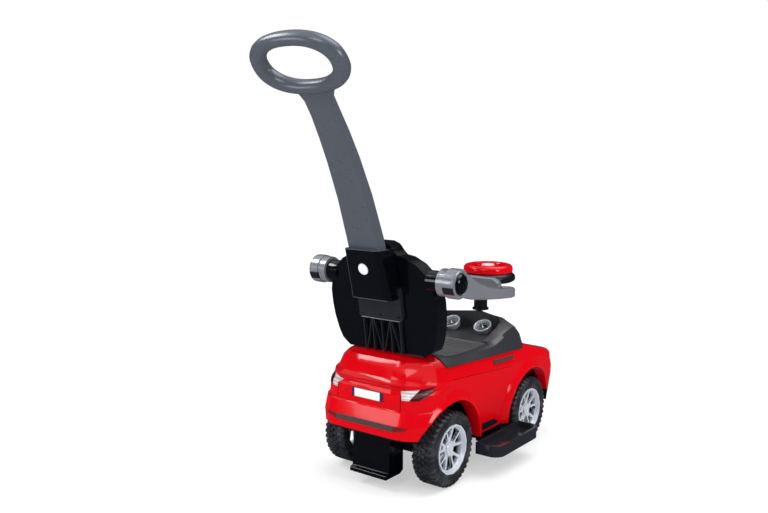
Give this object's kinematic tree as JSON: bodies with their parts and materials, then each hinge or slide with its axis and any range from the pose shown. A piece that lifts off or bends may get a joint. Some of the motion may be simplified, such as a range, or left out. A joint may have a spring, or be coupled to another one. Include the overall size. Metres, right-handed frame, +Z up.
{
  "type": "kids push car",
  "caption": "Ride-on push car with a steering wheel, storage under the seat, swing-up guard bar, plug-in footrests and a tall push handle.",
  "frame": {"origin": "on the ground, at the middle of the whole object", "axes": "+Z up, -Y towards the front of the car, +X to the car's left"},
  "size_m": [0.376, 0.7791, 0.8485],
  "materials": {
    "red_gloss": "glossy moulded plastic",
    "black_gloss": "glossy moulded plastic",
    "black_matte": "satin moulded plastic",
    "seat_grey": "satin moulded plastic",
    "guard_grey": "painted plastic",
    "handle_grey": "satin moulded plastic",
    "rim_silver": "silver plastic",
    "tyre_black": "hard moulded tyre",
    "steel": "plain steel rod",
    "lens_clear": "light lens",
    "strip_brown": "dark strip",
    "white_gloss": "white plastic"
  },
  "bodies": {
    "car": {"body_shell": "red_gloss", "front_bumper_lip": "black_matte", "grille": "black_matte", "number_plate": "white_gloss", "rear_reflector": "strip_brown", "underbody": "black_matte", "storage_box": "black_matte", "anti_tip_block": "black_gloss", "rear_axle": "steel", "seat_surround": "seat_grey", "seat_hinge_pin": "steel", "column_collar": "black_matte", "backrest": "black_gloss", "handle_socket": "black_gloss", "tail_light_left": "lens_clear", "tail_light_right": "lens_clear", "head_light_left": "lens_clear", "head_light_right": "lens_clear", "side_vent_left": "strip_brown", "side_vent_right": "strip_brown", "sill_trim_left": "black_matte", "sill_trim_right": "black_matte", "gauge_pod_left": "guard_grey", "gauge_pod_right": "guard_grey", "gauge_dial_left": "black_gloss", "gauge_dial_right": "black_gloss", "pivot_cap_left": "black_gloss", "pivot_cap_right": "black_gloss"},
    "steering": {"steering_rod": "steel", "column_sleeve": "black_matte", "wheel_grip": "black_matte", "steering_wheel": "red_gloss"},
    "horn": {"horn_button": "white_gloss"},
    "tie_rod": {"tie_rod": "steel"},
    "seat": {"seat_lid": "seat_grey"},
    "handle": {"push_handle": "handle_grey"},
    "release": {"release_button": "white_gloss"},
    "steering_knuckle_left": {"knuckle_left": "steel"},
    "guard_left": {"guard_arm_left": "guard_grey"},
    "tray_left": {"footrest_left": "black_gloss"},
    "wheel_front_left": {"tyre_front_left": "tyre_black", "rim_front_left": "rim_silver", "hub_cap_front_left": "rim_silver"},
    "wheel_rear_left": {"tyre_rear_left": "tyre_black", "rim_rear_left": "rim_silver", "hub_cap_rear_left": "rim_silver"},
    "steering_knuckle_right": {"knuckle_right": "steel"},
    "guard_right": {"guard_arm_right": "guard_grey"},
    "tray_right": {"footrest_right": "black_gloss"},
    "wheel_front_right": {"tyre_front_right": "tyre_black", "rim_front_right": "rim_silver", "hub_cap_front_right": "rim_silver"},
    "wheel_rear_right": {"tyre_rear_right": "tyre_black", "rim_rear_right": "rim_silver", "hub_cap_rear_right": "rim_silver"}
  },
  "joints": [
    {"name": "steering_turn", "type": "hinge", "parent": "car", "child": "steering", "pos_m": [0, -0.2531, 0.371], "axis": [0, 0, 1], "range_deg": [-25, 25]},
    {"name": "horn_press", "type": "slide", "parent": "steering", "child": "horn", "axis": [0, 0, -1], "range_m": [0, 0.002], "stiffness_N_per_m": 300, "springref_m": -0.002},
    {"name": "tie_rod_slide", "type": "slide", "parent": "car", "child": "tie_rod", "axis": [1, 0, 0], "range_m": [-0.0079, 0.0079]},
    {"name": "knuckle_left_steer", "type": "hinge", "parent": "car", "child": "steering_knuckle_left", "pos_m": [0.072, -0.2475, 0.075], "axis": [0, 0, 1], "range_deg": [-15.5, 15.5]},
    {"name": "wheel_front_left_spin", "type": "hinge", "parent": "steering_knuckle_left", "child": "wheel_front_left", "pos_m": [0.11, -0.2475, 0.075], "axis": [1, 0, 0], "continuous": true},
    {"name": "wheel_rear_left_spin", "type": "hinge", "parent": "car", "child": "wheel_rear_left", "pos_m": [0.11, 0.0649, 0.075], "axis": [1, 0, 0], "continuous": true},
    {"name": "knuckle_right_steer", "type": "hinge", "parent": "car", "child": "steering_knuckle_right", "pos_m": [-0.072, -0.2475, 0.075], "axis": [0, 0, 1], "range_deg": [-15.5, 15.5]},
    {"name": "wheel_front_right_spin", "type": "hinge", "parent": "steering_knuckle_right", "child": "wheel_front_right", "pos_m": [-0.11, -0.2475, 0.075], "axis": [1, 0, 0], "continuous": true},
    {"name": "wheel_rear_right_spin", "type": "hinge", "parent": "car", "child": "wheel_rear_right", "pos_m": [-0.11, 0.0649, 0.075], "axis": [1, 0, 0], "continuous": true},
    {"name": "seat_lift", "type": "hinge", "parent": "car", "child": "seat", "pos_m": [0, -0.1171, 0.2412], "axis": [1, 0, 0], "range_deg": [0, 70]},
    {"name": "guard_right_lift", "type": "hinge", "parent": "car", "child": "guard_right", "pos_m": [-0.135, 0.1079, 0.41], "axis": [-1, 0, 0], "range_deg": [0, 95]},
    {"name": "guard_left_lift", "type": "hinge", "parent": "car", "child": "guard_left", "pos_m": [0.135, 0.1079, 0.41], "axis": [-1, 0, 0], "range_deg": [0, 95]},
    {"name": "handle_lift", "type": "slide", "parent": "car", "child": "handle", "axis": [0, 0.299, 0.9542], "range_m": [0, 0.08]},
    {"name": "release_press", "type": "slide", "parent": "car", "child": "release", "axis": [0, -0.9542, 0.299], "range_m": [0, 0.003], "stiffness_N_per_m": 500, "springref_m": -0.002},
    {"name": "tray_left_pull", "type": "slide", "parent": "car", "child": "tray_left", "axis": [1, 0, 0], "range_m": [0, 0.03]},
    {"name": "tray_right_pull", "type": "slide", "parent": "car", "child": "tray_right", "axis": [-1, 0, 0], "range_m": [0, 0.03]}
  ],
  "couplings": [
    {"joint": "tie_rod_slide", "follows": "steering_turn", "m_per_rad": -0.0179},
    {"joint": "knuckle_left_steer", "follows": "steering_turn", "ratio": 0.6},
    {"joint": "knuckle_right_steer", "follows": "steering_turn", "ratio": 0.6},
    {"joint": "guard_left_lift", "follows": "guard_right_lift", "ratio": 1}
  ]
}
